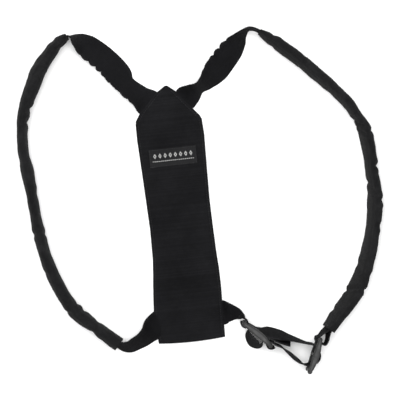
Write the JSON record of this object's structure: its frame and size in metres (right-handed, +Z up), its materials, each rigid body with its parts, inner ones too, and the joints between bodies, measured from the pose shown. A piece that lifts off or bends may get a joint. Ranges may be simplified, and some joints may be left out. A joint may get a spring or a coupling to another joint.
{
  "type": "posture corrector",
  "caption": "Posture corrector laid flat: padded back panel with elastic shoulder straps, padded arm sleeves and adjusting webbing on plastic sliders.",
  "frame": {"origin": "on the floor under the middle of the whole, as it lies", "axes": "+Z up out of the floor, +X from the left arm loop to the right one, +Y from the hem of the panel towards its pointed top, from which the panel leans about 6 degrees to the left"},
  "size_m": [0.462, 0.4374, 0.048],
  "materials": {
    "panel_fabric": "matte black woven cloth over thin padding",
    "elastic": "matte black ribbed elastic",
    "sleeve_fabric": "matte black knitted cloth over padding",
    "webbing": "black woven webbing with a slight sheen",
    "slider_plastic": "grey moulded plastic, half matte",
    "label": "black woven label"
  },
  "bodies": {
    "root": {"back_panel": "panel_fabric", "panel_label": "label", "left_shoulder_strap": "elastic", "right_shoulder_strap": "elastic", "left_sleeve": "sleeve_fabric", "right_sleeve": "sleeve_fabric", "left_lower_webbing": "webbing", "tab_webbing": "webbing", "adjuster_webbing": "webbing", "right_sleeve_loop": "webbing", "left_slider": "slider_plastic", "right_slider": "slider_plastic"}
  },
  "joints": []
}
